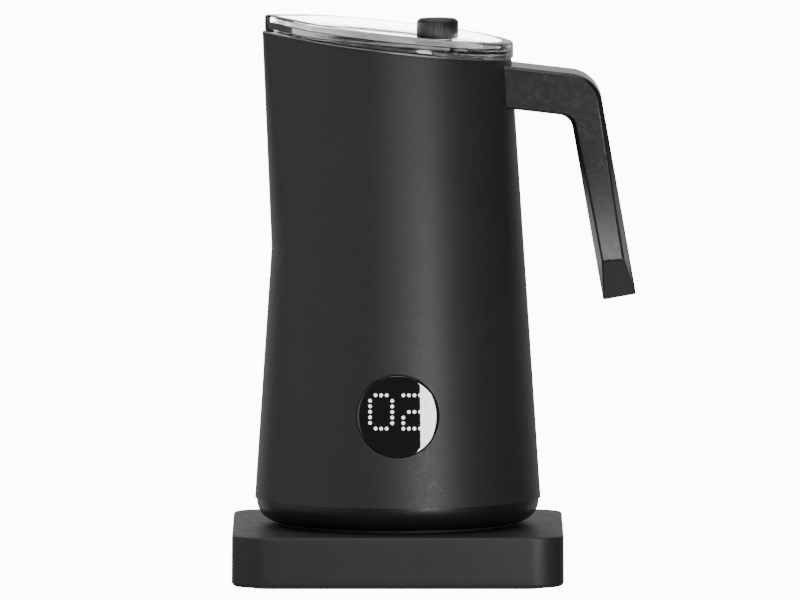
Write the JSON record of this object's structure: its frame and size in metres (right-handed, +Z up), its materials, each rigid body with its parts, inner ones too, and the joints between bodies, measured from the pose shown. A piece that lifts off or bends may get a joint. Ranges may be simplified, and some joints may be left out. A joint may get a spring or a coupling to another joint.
{
  "type": "milk frother",
  "caption": "Cordless milk frother: tapered double-walled jug with angled handle, clear slanted lid, round press display and magnetic whisk, on a square power base.",
  "frame": {"origin": "middle of the pad under the power base, on the surface that it stands on", "axes": "+Z up along the jug's axis; the display faces -Y, the handle points to +X and the pouring lip to -X"},
  "size_m": [0.1464, 0.1212, 0.2044],
  "materials": {
    "black_coat": "fine matt powder coat on steel",
    "base_plastic": "finely grained moulding",
    "dark_plastic": "smooth satin moulding",
    "handle_plastic": "leather-grained moulding",
    "knob_plastic": "satin",
    "inner_plastic": "glass-filled moulding",
    "dark_rubber": "matt",
    "black_gloss": "polished",
    "clear_plastic": "clear, polished",
    "clear_silicone": "translucent, satin",
    "cup_steel": "brushed stainless",
    "motor_steel": "plated can",
    "zinc_screws": "zinc plated",
    "cast_aluminium": "as cast",
    "magnet_nickel": "nickel plated",
    "contact_brass": "bright, lightly worn",
    "ceramic_white": "matt",
    "lead_red": "silicone sleeve",
    "board_green": "solder resist",
    "component_plastic": "moulded",
    "led_white": "lit from behind"
  },
  "bodies": {
    "base": {"base_housing": "base_plastic", "base_floor_plate": "inner_plastic", "base_pad": "dark_rubber", "base_screws": "zinc_screws", "cord_gland": "dark_rubber", "socket_tower": "dark_plastic", "socket_contacts": "contact_brass", "socket_screws": "zinc_screws", "socket_seal": "dark_rubber"},
    "plug": {"plug_disc": "dark_plastic", "plug_contacts": "contact_brass"},
    "jug": {"jug_foot": "dark_plastic", "jug_foot_screws": "zinc_screws", "jug_foot_rubber": "dark_rubber", "plug_retainer": "inner_plastic", "retainer_screws": "zinc_screws", "outer_shell": "black_coat", "inner_cup": "cup_steel", "spindle": "cup_steel", "handle": "handle_plastic", "handle_tang": "cup_steel", "handle_screw": "zinc_screws", "chassis": "inner_plastic", "chassis_nuts": "zinc_screws", "cup_studs": "cup_steel", "heater_plate": "cast_aluminium", "heater_element": "cup_steel", "thermostat": "ceramic_white", "heater_leads": "lead_red", "motor": "motor_steel", "motor_screws": "zinc_screws", "motor_leads": "ceramic_white", "control_board": "board_green", "board_components": "component_plastic", "board_screws": "zinc_screws", "display_housing": "inner_plastic", "display_board": "board_green", "display_screws": "zinc_screws", "led_matrix": "led_white", "touch_switch": "component_plastic", "display_ribbon": "ceramic_white"},
    "display_button": {"display_window": "black_gloss", "switch_plunger": "inner_plastic"},
    "drive_rotor": {"motor_shaft": "cup_steel", "magnet_carrier": "inner_plastic", "drive_magnets": "magnet_nickel"},
    "whisk_hub": {"whisk_bush": "ceramic_white"},
    "whisk": {"whisk_wheel": "dark_plastic", "whisk_magnets": "magnet_nickel", "whisk_mesh": "cup_steel", "mesh_frame": "dark_plastic"},
    "lid": {"lid": "clear_plastic", "lid_seal": "clear_silicone", "lid_knob": "knob_plastic", "knob_screw": "zinc_screws", "knob_washer": "clear_silicone"}
  },
  "joints": [
    {"name": "jug_lift", "type": "slide", "parent": "base", "child": "plug", "axis": [0, 0, 1], "range_m": [0, 0.05]},
    {"name": "jug_turn", "type": "hinge", "parent": "plug", "child": "jug", "pos_m": [0, 0, 0.0315], "axis": [0, 0, 1], "continuous": true},
    {"name": "lid_lift", "type": "slide", "parent": "jug", "child": "lid", "axis": [0, 0, 1], "range_m": [0, 0.04]},
    {"name": "display_press", "type": "slide", "parent": "jug", "child": "display_button", "axis": [0, 1, 0], "range_m": [0, 0.0006], "stiffness_N_per_m": 2500},
    {"name": "drive_spin", "type": "hinge", "parent": "jug", "child": "drive_rotor", "pos_m": [0, 0, 0.08], "axis": [0, 0, 1], "continuous": true},
    {"name": "whisk_lift", "type": "slide", "parent": "jug", "child": "whisk_hub", "axis": [0, 0, 1], "range_m": [0, 0.02]},
    {"name": "whisk_spin", "type": "hinge", "parent": "whisk_hub", "child": "whisk", "pos_m": [0, 0, 0.09], "axis": [0, 0, 1], "continuous": true}
  ],
  "couplings": [
    {"joint": "whisk_spin", "follows": "drive_spin", "ratio": 1}
  ]
}
